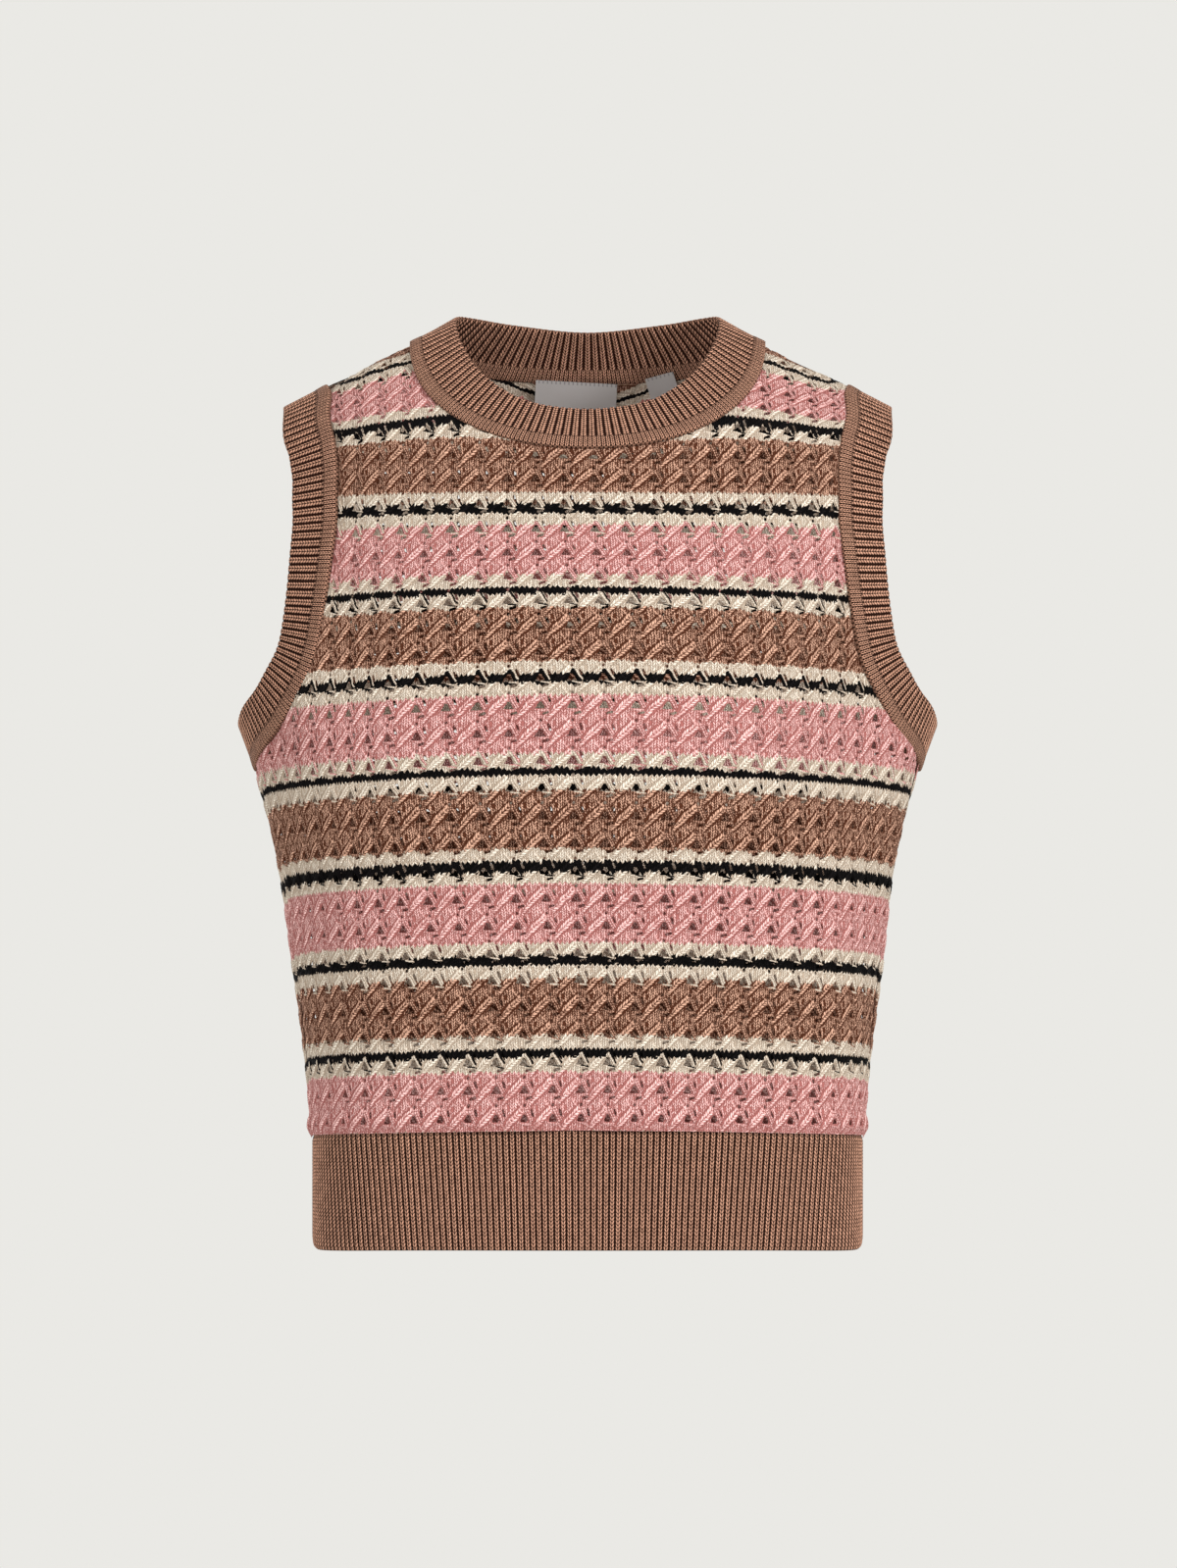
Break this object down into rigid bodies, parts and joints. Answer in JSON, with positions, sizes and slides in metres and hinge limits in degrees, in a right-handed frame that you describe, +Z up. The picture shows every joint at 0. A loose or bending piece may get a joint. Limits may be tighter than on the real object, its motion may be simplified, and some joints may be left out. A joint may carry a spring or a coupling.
{
  "type": "knit tank top",
  "caption": "Cropped sleeveless knitted top in striped lace, with ribbed bands at the round neck, the deep armholes and the hem, filled out as if worn.",
  "frame": {"origin": "between the two neck ends of the shoulder seams, where the top hangs from a wearer's shoulders", "axes": "+Z up along the body, front of the top facing -Y, +X to the right of a viewer who faces the front"},
  "size_m": [0.3874, 0.2117, 0.5106],
  "materials": {
    "front_knit": "matte",
    "back_knit": "matte",
    "neck_knit": "matte",
    "armhole_rib_right": "matte",
    "armhole_rib_left": "matte",
    "hem_rib_front": "matte",
    "hem_rib_back": "matte",
    "neck_label": "satin",
    "size_tab": "satin"
  },
  "bodies": {
    "root": {"front": "front_knit", "back": "back_knit", "neck_rib": "neck_knit", "armhole_rib_right": "armhole_rib_right", "armhole_rib_left": "armhole_rib_left", "hem_rib_front": "hem_rib_front", "hem_rib_back": "hem_rib_back", "neck_label": "neck_label", "size_tab": "size_tab"}
  },
  "joints": []
}
